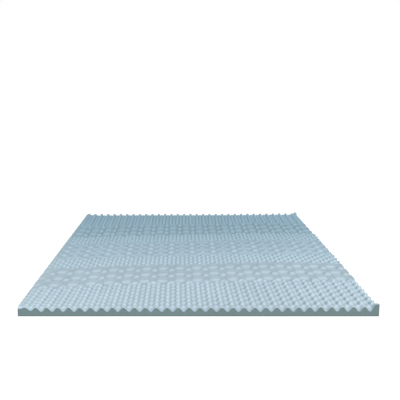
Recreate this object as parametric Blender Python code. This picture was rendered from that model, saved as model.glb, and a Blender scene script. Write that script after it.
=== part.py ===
"""Convoluted foam mattress topper: one slab, flat underneath, its top cut into seven bands of crests.

Metres, +Z up. The origin is the middle of the flat underside. X runs across the bed and Y along it,
from the front edge (-Y) to the back edge (+Y).
"""

import math

import bmesh
import bpy
import numpy as np

# Overall size of the slab.
WIDTH = 1.524
LENGTH = 2.032

# Heights above the underside.
HOLLOW_HEIGHT = 0.019
CREST_HEIGHT = 0.045
RIGHT_CREST_HEIGHT = 0.049
CORNER_HEIGHT = 0.052

# The crests grow from CREST_HEIGHT to RIGHT_CREST_HEIGHT across this share of the width, up to the right edge.
RISE_SHARE = 0.4

# The two right corners were left uncut for this far in from each edge.
UNCUT_CORNER = 0.030

# How firmly crests and hollows flatten in each pattern.
STUD_FIRMNESS = 1.2
RIDGE_FIRMNESS = 1.0
KNOB_FIRMNESS = 1.2
BLOCK_FIRMNESS = 1.6
KNUCKLE_FIRMNESS = 0.6

# How much the crests of one line join up, in the studs and in the ridges.
STUD_JOINING = 0.5
RIDGE_JOINING = 0.3

# Knobs are this much broader than the hollows between them.
KNOB_WIDENING = 0.25

# Blocks are broader than the line of crests beside them, and longer than the gaps between them.
BLOCK_WIDENING = 0.35
BLOCK_LENGTHENING = 0.5

# Knuckles: how much the rows, the pairs across, the taller knobs and the dips between rows each count, how far
# the rows and the pairs are turned along the slab, and how much deeper the dips are in line with the pairs.
KNUCKLE_ROW = 0.3
KNUCKLE_PAIR = 0.45
KNUCKLE_TALL = 0.25
KNUCKLE_DIP = 0.25
KNUCKLE_LAG = 0.5
KNUCKLE_LEAN = 1.1
KNUCKLE_DIP_PAIR = 0.7

# The outermost rows of crests run this far, out to the cut ends, and the ends' top edge is rounded off. The
# hollows are deeper by this share at the front cut.
END_ROW = 0.010
END_DROP = 0.005
END_REACH = 0.014
FRONT_DEEPENING = 0.2

# The relief is shallow at the left edge, by this share, and reaches its full depth this far in.
LEFT_SHARE = 0.35
LEFT_REACH = 0.090

# Neighbouring bands melt into each other over this length.
BAND_BLEND = 0.016

# The bands, front to back. Pitch and first_across place the crests across the slab, and row_pitch and
# first_along place the rows along it, counted from the band's start. Depth is the depth of its hollows as a
# share of the deepest, and cells is the number of mesh rows to one row pitch.
BANDS = (
    # pattern, length, pitch, first_across, row_pitch, first_along, depth, cells
    ("studs", 0.352, 0.0462, 0.030, 0.0500, 0.002, 0.7, 2),
    ("blocks", 0.320, 0.0860, 0.083, 0.1067, 0.066, 0.5, 3),
    ("knobs", 0.172, 0.0462, 0.027, 0.0600, 0.053, 0.8, 2),
    ("knuckles", 0.356, 0.1200, 0.033, 0.0900, 0.022, 0.6, 4),
    ("knobs", 0.172, 0.0462, 0.024, 0.0600, 0.032, 0.8, 2),
    ("blocks", 0.320, 0.0860, 0.033, 0.1067, 0.019, 0.9, 3),
    ("ridges", 0.340, 0.0462, 0.013, 0.0500, 0.030, 1.0, 2),
)

# The foam crept along the slab, and a little sideways, while it ran through the rollers, so the bands bow.
CREEP = (
    # across as a share of the width, creep towards the back, creep to the right
    (0.00, -0.080, 0.010),
    (0.12, -0.063, 0.008),
    (0.20, -0.034, 0.004),
    (0.33, -0.010, -0.001),
    (0.50, 0.008, -0.004),
    (0.67, 0.036, -0.005),
    (0.79, 0.042, -0.003),
    (0.88, 0.035, -0.001),
    (1.00, 0.016, 0.000),
)
CREEP_EASE = 1.6

# Mesh columns lie on the crests and hollows of the stud bands.
STUD_PITCH = 0.0462
FIRST_CREST_ACROSS = 0.028

# Mesh rows and columns keep at least this far from the edges.
LEAST_CELL = 0.010


def firm(value, firmness):
    """Flattens the tops and floors of a wave that runs from -1 to 1."""
    return np.tanh(firmness * value) / math.tanh(firmness)


def studs(across, along):
    """Round crests and hollows that alternate, with the crests of every other line a little taller."""
    return firm(np.cos(across) * (np.cos(along) + STUD_JOINING) / (1.0 + STUD_JOINING), STUD_FIRMNESS)


def ridges(across, along):
    """Ridges along the slab that rise and fall a little."""
    return firm(np.cos(across) * (np.cos(along) + RIDGE_JOINING) / (1.0 + RIDGE_JOINING), RIDGE_FIRMNESS)


def knobs(across, along):
    """Broad round crests that alternate like the squares of a chequerboard, with small hollows between them."""
    chequer = np.cos(across) * np.cos(along)
    return firm((chequer + KNOB_WIDENING) / (1.0 + KNOB_WIDENING), KNOB_FIRMNESS)


def blocks(across, along):
    """Broad low blocks in lines along the slab. A tall crest stands on either side of each gap between them."""
    row = (np.cos(along) - BLOCK_LENGTHENING * np.cos(2.0 * along)) / (1.0 + BLOCK_LENGTHENING)
    return firm(np.cos(across) + BLOCK_WIDENING, BLOCK_FIRMNESS) * row


def knuckles(across, along):
    """Low knobs two to the pitch across, every other one of them taller, in rows that swing to and fro."""
    rows = KNUCKLE_ROW * np.cos(along - KNUCKLE_LAG)
    dips = KNUCKLE_DIP * np.cos(2.0 * along) * (1.0 + KNUCKLE_DIP_PAIR * np.cos(2.0 * across))
    pairs = KNUCKLE_PAIR * np.cos(2.0 * across) * np.cos(along + KNUCKLE_LEAN)
    return firm(rows + pairs - dips - KNUCKLE_TALL * np.cos(across) * np.sin(along), KNUCKLE_FIRMNESS)


PATTERNS = {"studs": studs, "ridges": ridges, "knobs": knobs, "blocks": blocks, "knuckles": knuckles}


def smooth_step(value, low, high):
    """0 up to low, 1 from high, and an even S between them."""
    share = np.clip((value - low) / (high - low), 0.0, 1.0)
    return share * share * (3.0 - 2.0 * share)


def creep(across, place):
    """How far towards the back and to the right the foam was carried from its place in the unbowed pattern."""
    shares, back, right = zip(*CREEP)
    from_end = np.clip(np.minimum(place / BANDS[0][1], (LENGTH - place) / BANDS[-1][1]), 0.0, 1.0)
    eased = 1.0 - (1.0 - from_end) ** CREEP_EASE
    return eased * np.interp(across / WIDTH, shares, back), eased * np.interp(across / WIDTH, shares, right)


def relief(across, place):
    """The cut pattern, from -1 in a hollow to 1 on a crest, at a place in the unbowed pattern."""
    total = 0.0
    start = 0.0
    place = np.clip(place, END_ROW, LENGTH - END_ROW)
    for pattern, length, pitch, first_across, row_pitch, first_along, depth, _cells in BANDS:
        end = start + length
        turn_across = 2.0 * math.pi * (across - first_across) / pitch
        turn_along = 2.0 * math.pi * (place - start - first_along) / row_pitch
        share = 1.0
        if start > 0.0:
            share = share * smooth_step(place, start - BAND_BLEND / 2, start + BAND_BLEND / 2)
        if end < LENGTH - BAND_BLEND:
            share = share * (1.0 - smooth_step(place, end - BAND_BLEND / 2, end + BAND_BLEND / 2))
        total = total + share * (1.0 - depth * (1.0 - PATTERNS[pattern](turn_across, turn_along)))
        start = end
    return total


def top_height(across, pattern_across, place):
    """Height of the foam above its underside."""
    right = smooth_step(across / WIDTH, 1.0 - RISE_SHARE, 1.0)
    crest = CREST_HEIGHT + (RIGHT_CREST_HEIGHT - CREST_HEIGHT) * right
    calm = LEFT_SHARE + (1.0 - LEFT_SHARE) * smooth_step(across, 0.0, LEFT_REACH)
    from_end = np.minimum(place, LENGTH - place)
    drop = END_DROP * (1.0 - np.clip(from_end / END_REACH, 0.0, 1.0)) ** 2
    deep = (crest - HOLLOW_HEIGHT) * calm * (1.0 + FRONT_DEEPENING * (1.0 - smooth_step(place, 0.0, 2 * END_REACH)))
    height = crest - deep * (1.0 - relief(pattern_across, place)) / 2 - drop
    corner_across = 1.0 - smooth_step(WIDTH - across, UNCUT_CORNER / 2, UNCUT_CORNER)
    corner_along = 1.0 - smooth_step(from_end, UNCUT_CORNER / 2, UNCUT_CORNER)
    return height + (CORNER_HEIGHT - height) * corner_across * corner_along


def inside(places, length):
    """Those places that lie well within the length, between its two ends."""
    kept = [place for place in places if LEAST_CELL < place < length - LEAST_CELL]
    return [0.0] + kept + [length]


def mesh_columns():
    """Places of the mesh columns: both side edges, and the crests and hollows of the stud bands."""
    half = STUD_PITCH / 2
    count = int(WIDTH / half) + 2
    return inside([FIRST_CREST_ACROSS % half + half * number for number in range(count)], WIDTH)


def mesh_rows():
    """Places of the mesh rows: a whole number to each row pitch, with one on each line of crests."""
    rows = []
    start = 0.0
    for _pattern, length, _pitch, _first_across, row_pitch, first_along, _depth, cells in BANDS:
        step = row_pitch / cells
        first = first_along % step
        rows += [start + first + step * number for number in range(int((length - first) / step) + 1)]
        start += length
    return inside(rows, LENGTH)


def cut_top(grid, columns, rows):
    """Moves each vertex of a unit grid to its column and row, and up to the foam's top."""
    across_steps = len(columns) - 1
    along_steps = len(rows) - 1
    for vertex in grid.verts:
        across = columns[round((vertex.co.x + 0.5) * across_steps)]
        place = rows[round((vertex.co.y + 0.5) * along_steps)]
        back, right = creep(across, place)
        height = top_height(across, across - right, place)
        vertex.co = (across - WIDTH / 2, place + float(back) - LENGTH / 2, float(height))


def split_top(grid):
    """Splits each four-cornered face of the top along the diagonal whose ends lie lower."""
    for face in [face for face in grid.faces if len(face.verts) == 4]:
        first, second, third, fourth = face.verts
        if first.co.z + third.co.z < second.co.z + fourth.co.z:
            bmesh.utils.face_split(face, first, third)
        else:
            bmesh.utils.face_split(face, second, fourth)


def close_below(grid):
    """Closes the slab with four plain upright sides and one flat underside."""
    border = [edge for edge in grid.edges if edge.is_boundary]
    sides = (("x", -WIDTH / 2), ("y", -LENGTH / 2), ("x", WIDTH / 2), ("y", LENGTH / 2))
    tolerance = 1e-5

    def on_side(vertex, axis, level):
        return abs(getattr(vertex.co, axis) - level) < tolerance

    corners = [
        vertex
        for vertex in grid.verts
        if abs(abs(vertex.co.x) - WIDTH / 2) < tolerance and abs(abs(vertex.co.y) - LENGTH / 2) < tolerance
    ]
    for vertex in bmesh.ops.extrude_vert_indiv(grid, verts=corners)["verts"]:
        vertex.co.z = 0.0
    low = [vertex for vertex in grid.verts if vertex.co.z < tolerance]
    upright = [edge for vertex in low for edge in vertex.link_edges]
    low_edges = []
    for axis, level in sides:
        ends = [vertex for vertex in low if on_side(vertex, axis, level)]
        low_edges.append(grid.edges.new(ends))
        outline = [edge for edge in border + upright if all(on_side(v, axis, level) for v in edge.verts)]
        bmesh.ops.contextual_create(grid, geom=outline + [low_edges[-1]])
    bmesh.ops.contextual_create(grid, geom=low_edges)


def foam_material():
    """Soft matt foam in pale blue."""
    material = bpy.data.materials.new("blue_foam")
    material.use_nodes = True
    shader = material.node_tree.nodes["Principled BSDF"]
    shader.inputs["Base Color"].default_value = (0.42, 0.56, 0.64, 1.0)
    shader.inputs["Roughness"].default_value = 0.9
    shader.inputs["Metallic"].default_value = 0.0
    return material


def build_topper(collection):
    """The slab as one closed body."""
    columns = mesh_columns()
    rows = mesh_rows()
    grid = bmesh.new()
    bmesh.ops.create_grid(grid, x_segments=len(columns) - 1, y_segments=len(rows) - 1, size=0.5)
    cut_top(grid, columns, rows)
    split_top(grid)
    close_below(grid)
    bmesh.ops.triangulate(grid, faces=grid.faces[:])
    bmesh.ops.recalc_face_normals(grid, faces=grid.faces[:])
    mesh = bpy.data.meshes.new("topper_foam")
    grid.to_mesh(mesh)
    grid.free()
    topper = bpy.data.objects.new("topper_foam", mesh)
    topper.data.materials.append(foam_material())
    collection.objects.link(topper)
    return topper


def main():
    for item in list(bpy.data.objects):
        bpy.data.objects.remove(item)
    collection = bpy.data.collections.new("mattress_topper")
    bpy.context.scene.collection.children.link(collection)
    build_topper(collection)


main()
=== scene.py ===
import math

import bmesh
import bpy
import numpy as np
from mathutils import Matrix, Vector


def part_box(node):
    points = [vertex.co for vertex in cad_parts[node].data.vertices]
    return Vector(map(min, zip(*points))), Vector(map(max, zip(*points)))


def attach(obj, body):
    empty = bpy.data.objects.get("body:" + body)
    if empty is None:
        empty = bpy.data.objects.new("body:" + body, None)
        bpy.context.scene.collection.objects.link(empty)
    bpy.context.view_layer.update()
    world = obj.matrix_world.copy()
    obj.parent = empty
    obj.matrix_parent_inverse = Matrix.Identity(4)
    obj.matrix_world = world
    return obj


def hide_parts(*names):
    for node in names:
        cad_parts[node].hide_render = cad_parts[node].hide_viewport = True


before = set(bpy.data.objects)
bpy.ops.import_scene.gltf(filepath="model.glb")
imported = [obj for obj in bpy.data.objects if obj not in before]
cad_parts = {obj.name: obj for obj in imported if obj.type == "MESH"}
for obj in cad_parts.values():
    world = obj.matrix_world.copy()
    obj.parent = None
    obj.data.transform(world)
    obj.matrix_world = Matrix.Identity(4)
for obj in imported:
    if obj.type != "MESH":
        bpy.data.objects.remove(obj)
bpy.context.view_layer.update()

# The slab's size comes from the frame. Across is measured from its left edge, and along from its front edge.
slab_low, slab_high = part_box("topper_foam")
WIDTH = slab_high.x - slab_low.x
LENGTH = slab_high.y - slab_low.y

# Heights above the underside.
HOLLOW_HEIGHT = 0.019
CREST_HEIGHT = 0.045
RIGHT_CREST_HEIGHT = 0.049
CORNER_HEIGHT = 0.052

# The crests grow from CREST_HEIGHT to RIGHT_CREST_HEIGHT over this share of the width, up to the right
# edge.
RISE_SHARE = 0.4

# The two right corners were left uncut for this far in from each edge.
UNCUT_CORNER = 0.030

# How firmly crests and hollows flatten in each pattern.
STUD_FIRMNESS = 1.2
RIDGE_FIRMNESS = 1.0
KNOB_FIRMNESS = 1.2
BLOCK_FIRMNESS = 1.6
KNUCKLE_FIRMNESS = 0.6

# How much the crests of one line join up, in the studs and in the ridges.
STUD_JOINING = 0.5
RIDGE_JOINING = 0.3

# Knobs are this much broader than the hollows between them.
KNOB_WIDENING = 0.25

# Blocks are broader than the line of crests beside them, and longer than the gaps between them.
BLOCK_WIDENING = 0.35
BLOCK_LENGTHENING = 0.5

# Knuckles: how much the rows, the pairs across, the taller knobs and the dips between rows each count, how
# far the rows and the pairs are shifted along the slab, and how much deeper the dips are beside the pairs.
KNUCKLE_ROW = 0.3
KNUCKLE_PAIR = 0.45
KNUCKLE_TALL = 0.25
KNUCKLE_DIP = 0.25
KNUCKLE_LAG = 0.5
KNUCKLE_LEAN = 1.1
KNUCKLE_DIP_PAIR = 0.7

# At each end the relief stays the same over END_ROW, out to the cut, and the cut's top edge is lowered by up
# to END_DROP within END_REACH. The hollows are deeper by the share FRONT_DEEPENING at the front cut, and the
# deepening fades out over FRONT_REACH.
END_ROW = 0.010
END_DROP = 0.005
END_REACH = 0.014
FRONT_DEEPENING = 0.2
FRONT_REACH = 0.028

# At the left edge the hollows have only this share of their depth, and they reach all of it this far in.
LEFT_SHARE = 0.35
LEFT_REACH = 0.090

# Neighbouring bands melt into each other over this length.
BAND_BLEND = 0.016

# The bands, front to back. Pitch and first_across place the crests across the slab, and row_pitch and
# first_along place the rows along it, counted from the band's start. Depth is the depth of its hollows as a
# share of the deepest.
BANDS = (
    # pattern, length, pitch, first_across, row_pitch, first_along, depth
    ("studs", 0.352, 0.0462, 0.030, 0.0500, 0.002, 0.7),
    ("blocks", 0.320, 0.0860, 0.083, 0.1067, 0.066, 0.5),
    ("knobs", 0.172, 0.0462, 0.027, 0.0600, 0.053, 0.8),
    ("knuckles", 0.356, 0.1200, 0.033, 0.0900, 0.022, 0.6),
    ("knobs", 0.172, 0.0462, 0.024, 0.0600, 0.032, 0.8),
    ("blocks", 0.320, 0.0860, 0.033, 0.1067, 0.019, 0.9),
    ("ridges", 0.340, 0.0462, 0.013, 0.0500, 0.030, 1.0),
)

# The foam crept along the slab, and a little sideways, while it ran through the rollers, so the bands bow.
# Creep is zero at both ends and reaches these values within the first and last band, sooner the higher
# CREEP_EASE is.
CREEP = (
    # across as a share of the width, creep towards the back, creep to the right
    (0.00, -0.080, 0.010),
    (0.12, -0.063, 0.008),
    (0.20, -0.034, 0.004),
    (0.33, -0.010, -0.001),
    (0.50, 0.008, -0.004),
    (0.67, 0.036, -0.005),
    (0.79, 0.042, -0.003),
    (0.88, 0.035, -0.001),
    (1.00, 0.016, 0.000),
)
CREEP_EASE = 1.6

# The key light: where it comes from, its width in degrees and its strength. Fill is the light all round, and
# the backdrop is as bright as BACKDROP_STRENGTH.
KEY_FROM = (0.12, -1.0, 1.0)
KEY_ANGLE = 14.0
KEY_STRENGTH = 5.0
FILL_STRENGTH = 0.10
BACKDROP_STRENGTH = 1.0

# The floor: its radius and how much light it throws back.
FLOOR_RADIUS = 200.0
FLOOR_SIDES = 64
FLOOR_TINT = (0.92, 0.92, 0.92)

# The camera: its lens and sensor in millimetres, its shift, where it stands, and how far down it looks.
LENS = 58.1
SENSOR = 36.0
SHIFT_ACROSS = 0.043
CAMERA_PLACE = (-0.066, -3.615, 0.952)
CAMERA_DIP = 9.9

# Colours of the foam, partly painted light and shade: darker in the hollows as painted shade and lighter on
# the crests as painted light, much darker on the cut edges as painted shade, and darkest along the foot of
# the cut edges as a painted shadow, which fades out at the height given below.
HOLLOW_PAINTED_SHADE_TINT = (0.235, 0.31, 0.36)
CREST_PAINTED_LIGHT_TINT = (0.370, 0.470, 0.525)
EDGE_PAINTED_SHADE_TINT = (0.100, 0.142, 0.145)
RIM_PAINTED_SHADOW_TINT = (0.055, 0.072, 0.078)
RIM_PAINTED_SHADOW_HEIGHT = 0.006

# Painted shade: the foam is painted darker and bluer along the slab, standing in for light that falls off
# towards the back, from here on the Y axis to its back end.
FAR_PAINTED_SHADE_START = -1.0
FAR_PAINTED_SHADE_TINT = (0.53, 0.64, 0.70)

# The foam's clouds and mottling: repeats a metre, and how much lighter or darker they make it.
CLOUD_SCALE = 5.0
CLOUD_SPREAD = 0.08
MOTTLE_SCALE = 60.0
MOTTLE_SPREAD = 0.06
CLOUD_DETAIL = 3.0

# The foam's grain and pores: repeats a metre, their depth, and how strongly they show as bumps.
GRAIN_SCALE = 260.0
GRAIN_DETAIL = 2.0
GRAIN_DEPTH = 0.0012
GRAIN_STRENGTH = 0.4
PORE_SCALE = 620.0
PORE_DEPTH = 0.0008
PORE_STRENGTH = 0.5

# Painted shade in the pores: the middle of a pore is painted this dark, as shade in its hollow, and the foam
# between pores, this far out of the middle, this light.
PORE_PAINTED_SHADE = 0.86
PORE_RIM_PAINTED_LIGHT = 1.04
PORE_RIM = 0.6

# The foam's finish.
FOAM_ROUGHNESS = 0.95
FOAM_SPECULAR = 0.15
FOAM_SHEEN = 0.08
FOAM_SHEEN_ROUGHNESS = 0.6

# A face whose normal points up by less than this is a cut edge or the underside, and not relief. Such faces
# get the edge colour, which is much darker as painted shade.
LEAST_RELIEF_NORMAL = 0.05

# Steps of the fine mesh across and along the top, and the heights of its edge loops on the sides as shares of
# the height above them.
COLUMNS = 264
ROWS = 344
SIDE_LEVELS = (0.5, 0.12)


def firm(value, firmness):
    """Flattens the tops and floors of a wave that runs from -1 to 1."""
    return np.tanh(firmness * value) / math.tanh(firmness)


def studs(across, along):
    """Round crests and hollows that alternate. The crests of every other line are taller and join up."""
    joined = (np.cos(along) + STUD_JOINING) / (1.0 + STUD_JOINING)
    return firm(np.cos(across) * joined, STUD_FIRMNESS)


def ridges(across, along):
    """Studs with rounder tops, whose crests join up less along the slab."""
    joined = (np.cos(along) + RIDGE_JOINING) / (1.0 + RIDGE_JOINING)
    return firm(np.cos(across) * joined, RIDGE_FIRMNESS)


def knobs(across, along):
    """Broad round crests that alternate like the squares of a chequerboard, with small hollows between."""
    chequer = np.cos(across) * np.cos(along)
    return firm((chequer + KNOB_WIDENING) / (1.0 + KNOB_WIDENING), KNOB_FIRMNESS)


def blocks(across, along):
    """Broad low blocks in lines along the slab. A tall crest stands on either side of each gap."""
    row = (np.cos(along) - BLOCK_LENGTHENING * np.cos(2.0 * along)) / (1.0 + BLOCK_LENGTHENING)
    return firm(np.cos(across) + BLOCK_WIDENING, BLOCK_FIRMNESS) * row


def knuckles(across, along):
    """Low knobs two to the pitch across, every other one taller, in rows that swing to and fro."""
    rows = KNUCKLE_ROW * np.cos(along - KNUCKLE_LAG)
    dips = KNUCKLE_DIP * np.cos(2.0 * along) * (1.0 + KNUCKLE_DIP_PAIR * np.cos(2.0 * across))
    pairs = KNUCKLE_PAIR * np.cos(2.0 * across) * np.cos(along + KNUCKLE_LEAN)
    return firm(rows + pairs - dips - KNUCKLE_TALL * np.cos(across) * np.sin(along), KNUCKLE_FIRMNESS)


PATTERNS = {"studs": studs, "ridges": ridges, "knobs": knobs, "blocks": blocks, "knuckles": knuckles}


def smooth_step(value, low, high):
    """0 up to low, 1 from high, and an even S between them."""
    share = np.clip((value - low) / (high - low), 0.0, 1.0)
    return share * share * (3.0 - 2.0 * share)


def creep(across, place):
    """How far to the back and to the right the foam was carried from its place in the unbowed pattern."""
    shares, back, right = zip(*CREEP)
    from_end = np.clip(np.minimum(place / BANDS[0][1], (LENGTH - place) / BANDS[-1][1]), 0.0, 1.0)
    eased = 1.0 - (1.0 - from_end) ** CREEP_EASE
    share = across / WIDTH
    return eased * np.interp(share, shares, back), eased * np.interp(share, shares, right)


def relief(across, place):
    """The cut pattern, from -1 in a hollow to 1 on a crest, at a place in the unbowed pattern."""
    total = 0.0
    start = 0.0
    place = np.clip(place, END_ROW, LENGTH - END_ROW)
    for pattern, length, pitch, first_across, row_pitch, first_along, depth in BANDS:
        end = start + length
        turn_across = 2.0 * math.pi * (across - first_across) / pitch
        turn_along = 2.0 * math.pi * (place - start - first_along) / row_pitch
        share = 1.0
        if start > 0.0:
            share = share * smooth_step(place, start - BAND_BLEND / 2, start + BAND_BLEND / 2)
        if end < LENGTH - BAND_BLEND:
            share = share * (1.0 - smooth_step(place, end - BAND_BLEND / 2, end + BAND_BLEND / 2))
        total = total + share * (1.0 - depth * (1.0 - PATTERNS[pattern](turn_across, turn_along)))
        start = end
    return total


def top_height(across, pattern_across, place):
    """Height of the foam above its underside, given how far across it is, in the slab and in the pattern."""
    right = smooth_step(across / WIDTH, 1.0 - RISE_SHARE, 1.0)
    crest = CREST_HEIGHT + (RIGHT_CREST_HEIGHT - CREST_HEIGHT) * right
    calm = LEFT_SHARE + (1.0 - LEFT_SHARE) * smooth_step(across, 0.0, LEFT_REACH)
    from_end = np.minimum(place, LENGTH - place)
    drop = END_DROP * (1.0 - np.clip(from_end / END_REACH, 0.0, 1.0)) ** 2
    deeper = 1.0 + FRONT_DEEPENING * (1.0 - smooth_step(place, 0.0, FRONT_REACH))
    deep = (crest - HOLLOW_HEIGHT) * calm * deeper
    height = crest - deep * (1.0 - relief(pattern_across, place)) / 2 - drop
    corner_across = 1.0 - smooth_step(WIDTH - across, UNCUT_CORNER / 2, UNCUT_CORNER)
    corner_along = 1.0 - smooth_step(from_end, UNCUT_CORNER / 2, UNCUT_CORNER)
    return height + (CORNER_HEIGHT - height) * corner_across * corner_along


def cut_top(mesh):
    """Moves the vertices of a unit grid to their places on the foam's top."""
    flat = np.empty(len(mesh.vertices) * 3)
    mesh.vertices.foreach_get("co", flat)
    points = flat.reshape(-1, 3)
    across = (points[:, 0] + 0.5) * WIDTH
    place = (points[:, 1] + 0.5) * LENGTH
    points[:, 0] = across - WIDTH / 2
    back, right = creep(across, place)
    points[:, 1] = place + back - LENGTH / 2
    points[:, 2] = top_height(across, across - right, place)
    mesh.vertices.foreach_set("co", points.ravel())


def close_sides(mesh):
    """Adds the four cut sides below the top, level by level, and the flat underside."""
    body = bmesh.new()
    body.from_mesh(mesh)
    rim = [edge for edge in body.edges if edge.is_boundary]
    for edge in rim:
        edge.smooth = False
    tops = {}
    for level in (*SIDE_LEVELS, 0.0):
        made = bmesh.ops.extrude_edge_only(body, edges=rim)["geom"]
        rim = [item for item in made if isinstance(item, bmesh.types.BMEdge) and item.is_boundary]
        for vertex in {vertex for edge in rim for vertex in edge.verts}:
            key = (round(vertex.co.x, 6), round(vertex.co.y, 6))
            tops.setdefault(key, vertex.co.z)
            vertex.co.z = tops[key] * level
    bmesh.ops.contextual_create(body, geom=rim)
    for edge in rim:
        edge.smooth = False
    bmesh.ops.recalc_face_normals(body, faces=body.faces[:])
    for face in body.faces:
        face.smooth = True
        # Sideways and downward faces get the edge material, painted darker as shade.
        face.material_index = int(face.normal.z < LEAST_RELIEF_NORMAL)
    body.to_mesh(mesh)
    body.free()


def build_foam():
    """The slab of foam."""
    grid = bmesh.new()
    bmesh.ops.create_grid(grid, x_segments=COLUMNS, y_segments=ROWS, size=0.5)
    mesh = bpy.data.meshes.new("foam_slab")
    grid.to_mesh(mesh)
    grid.free()
    cut_top(mesh)
    close_sides(mesh)
    foam = bpy.data.objects.new("foam_slab", mesh)
    bpy.context.scene.collection.objects.link(foam)
    # The relief is painted darker in its hollows and lighter on its crests, as painted shade and light.
    relief_painted_shading = foam_material("cut_relief_painted_shade", HOLLOW_PAINTED_SHADE_TINT, CREST_PAINTED_LIGHT_TINT, HOLLOW_HEIGHT, RIGHT_CREST_HEIGHT)
    # The cut edges are painted dark as shade, darkest at their foot as a painted shadow.
    edge_painted_shade = foam_material("cut_edge_painted_shade", RIM_PAINTED_SHADOW_TINT, EDGE_PAINTED_SHADE_TINT, 0.0, RIM_PAINTED_SHADOW_HEIGHT)
    foam.data.materials.append(relief_painted_shading)
    foam.data.materials.append(edge_painted_shade)
    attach(foam, "root")
    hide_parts("topper_foam")
    return foam


def add_node(material, kind, **values):
    """A new shader node with some of its inputs or settings changed."""
    node = material.node_tree.nodes.new(kind)
    for name, value in values.items():
        spaced = name.replace("_", " ").title()
        if spaced in node.inputs:
            node.inputs[spaced].default_value = value
        else:
            setattr(node, name, value)
    return node


def scale_colour(material, colour, factor):
    """The colour made lighter or darker by a factor that another node gives."""
    scaled = add_node(material, "ShaderNodeVectorMath", operation="SCALE")
    material.node_tree.links.new(colour, scaled.inputs["Vector"])
    material.node_tree.links.new(factor, scaled.inputs["Scale"])
    return scaled.outputs["Vector"]


def map_smoothly(material, value, start, end):
    """0 up to start, 1 from end, and an even S between them."""
    ramp = add_node(
        material, "ShaderNodeMapRange", interpolation_type="SMOOTHSTEP", from_min=start, from_max=end
    )
    material.node_tree.links.new(value, ramp.inputs["Value"])
    return ramp.outputs["Result"]


def tint_and_painted_shade(material, place, low_tint, high_tint, low_height, high_height):
    """One tint to another as the foam rises, the lower darker as painted shade, and darker towards the back
    as painted shade, with clouds and mottling.
    """
    link = material.node_tree.links.new
    split = add_node(material, "ShaderNodeSeparateXYZ")
    link(place, split.inputs["Vector"])
    # Darker low down than high up, as painted shade.
    tint = add_node(material, "ShaderNodeMix", data_type="RGBA")
    tint.inputs["A"].default_value = (*low_tint, 1.0)
    tint.inputs["B"].default_value = (*high_tint, 1.0)
    link(map_smoothly(material, split.outputs["Z"], low_height, high_height), tint.inputs["Factor"])
    # Painted shade, darker and bluer towards the back end.
    deep = add_node(material, "ShaderNodeMix", data_type="RGBA", blend_type="MULTIPLY")
    deep.inputs["B"].default_value = (*FAR_PAINTED_SHADE_TINT, 1.0)
    link(map_smoothly(material, split.outputs["Y"], FAR_PAINTED_SHADE_START, slab_high.y), deep.inputs["Factor"])
    link(tint.outputs["Result"], deep.inputs["A"])
    colour = deep.outputs["Result"]
    for scale, spread in ((CLOUD_SCALE, CLOUD_SPREAD), (MOTTLE_SCALE, MOTTLE_SPREAD)):
        cloud = add_node(material, "ShaderNodeTexNoise", scale=scale, detail=CLOUD_DETAIL)
        link(place, cloud.inputs["Vector"])
        shade = add_node(material, "ShaderNodeMapRange", to_min=1.0 - spread, to_max=1.0 + spread)
        link(cloud.outputs["Fac"], shade.inputs["Value"])
        colour = scale_colour(material, colour, shade.outputs["Result"])
    return colour


def foam_material(name, low_tint, high_tint, low_height, high_height):
    """Soft matt open-cell foam with pores and grain, in one tint low down and another high up, the lower
    darker as painted shade, and with painted shade in the middles of the pores.
    """
    material = bpy.data.materials.new(name)
    material.use_nodes = True
    link = material.node_tree.links.new
    shader = material.node_tree.nodes["Principled BSDF"]
    shader.inputs["Roughness"].default_value = FOAM_ROUGHNESS
    shader.inputs["Specular IOR Level"].default_value = FOAM_SPECULAR
    shader.inputs["Sheen Weight"].default_value = FOAM_SHEEN
    shader.inputs["Sheen Roughness"].default_value = FOAM_SHEEN_ROUGHNESS
    place = add_node(material, "ShaderNodeTexCoord").outputs["Object"]
    colour = tint_and_painted_shade(material, place, low_tint, high_tint, low_height, high_height)

    pores = add_node(material, "ShaderNodeTexVoronoi", scale=PORE_SCALE)
    link(place, pores.inputs["Vector"])
    # Painted shade in the middles of the pores, a little lighter between them.
    pore_painted_shade = add_node(
        material, "ShaderNodeMapRange", from_max=PORE_RIM, to_min=PORE_PAINTED_SHADE, to_max=PORE_RIM_PAINTED_LIGHT
    )
    link(pores.outputs["Distance"], pore_painted_shade.inputs["Value"])
    link(scale_colour(material, colour, pore_painted_shade.outputs["Result"]), shader.inputs["Base Color"])

    dimples = add_node(material, "ShaderNodeBump", strength=PORE_STRENGTH, distance=PORE_DEPTH)
    link(pores.outputs["Distance"], dimples.inputs["Height"])
    grain = add_node(material, "ShaderNodeTexNoise", scale=GRAIN_SCALE, detail=GRAIN_DETAIL)
    link(place, grain.inputs["Vector"])
    uneven = add_node(material, "ShaderNodeBump", strength=GRAIN_STRENGTH, distance=GRAIN_DEPTH)
    link(grain.outputs["Fac"], uneven.inputs["Height"])
    link(dimples.outputs["Normal"], uneven.inputs["Normal"])
    link(uneven.outputs["Normal"], shader.inputs["Normal"])
    return material


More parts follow.
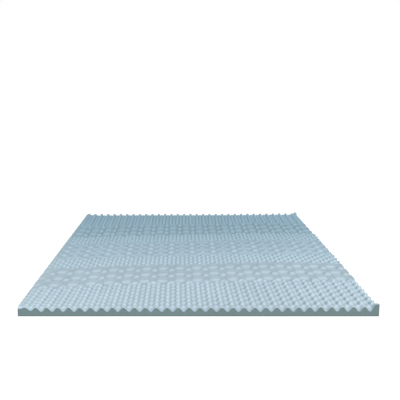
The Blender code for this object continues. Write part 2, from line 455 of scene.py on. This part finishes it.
def build_floor():
    """A wide pale floor."""
    ring = bmesh.new()
    bmesh.ops.create_circle(ring, cap_ends=True, radius=FLOOR_RADIUS, segments=FLOOR_SIDES)
    mesh = bpy.data.meshes.new("floor")
    ring.to_mesh(mesh)
    ring.free()
    floor = bpy.data.objects.new("floor", mesh)
    bpy.context.scene.collection.objects.link(floor)
    material = bpy.data.materials.new("pale_floor")
    material.use_nodes = True
    shader = material.node_tree.nodes["Principled BSDF"]
    shader.inputs["Base Color"].default_value = (*FLOOR_TINT, 1.0)
    shader.inputs["Roughness"].default_value = 1.0
    shader.inputs["Specular IOR Level"].default_value = 0.0
    floor.data.materials.append(material)


def light_scene():
    """One soft light above and in front, a little to the right, and a faint even light all round.

    The camera sees a bright backdrop, which lights the foam no more than the fill does.
    """
    data = bpy.data.lights.new("softbox", "SUN")
    data.energy = KEY_STRENGTH
    data.angle = math.radians(KEY_ANGLE)
    key = bpy.data.objects.new("softbox", data)
    key.rotation_euler = Vector(KEY_FROM).to_track_quat("Z", "Y").to_euler()
    bpy.context.scene.collection.objects.link(key)
    world = bpy.data.worlds.new("studio")
    bpy.context.scene.world = world
    world.use_nodes = True
    nodes = world.node_tree.nodes
    links = world.node_tree.links
    back = nodes["Background"]
    seen = nodes.new("ShaderNodeLightPath")
    strength = nodes.new("ShaderNodeMapRange")
    strength.inputs["To Min"].default_value = FILL_STRENGTH
    strength.inputs["To Max"].default_value = BACKDROP_STRENGTH
    links.new(seen.outputs["Is Camera Ray"], strength.inputs["Value"])
    links.new(strength.outputs["Result"], back.inputs["Strength"])
    back.inputs["Color"].default_value = (1.0, 1.0, 1.0, 1.0)
    bpy.context.scene.view_settings.view_transform = "Standard"


def aim_camera():
    """A long lens, low in front of the slab and a little to the left of its middle."""
    data = bpy.data.cameras.new("camera")
    data.sensor_width = SENSOR
    data.lens = LENS
    data.shift_x = SHIFT_ACROSS
    camera = bpy.data.objects.new("camera", data)
    camera.location = CAMERA_PLACE
    camera.rotation_euler = (math.radians(90.0 - CAMERA_DIP), 0.0, 0.0)
    bpy.context.scene.collection.objects.link(camera)
    bpy.context.scene.camera = camera


aim_camera()
build_foam()
build_floor()
light_scene()
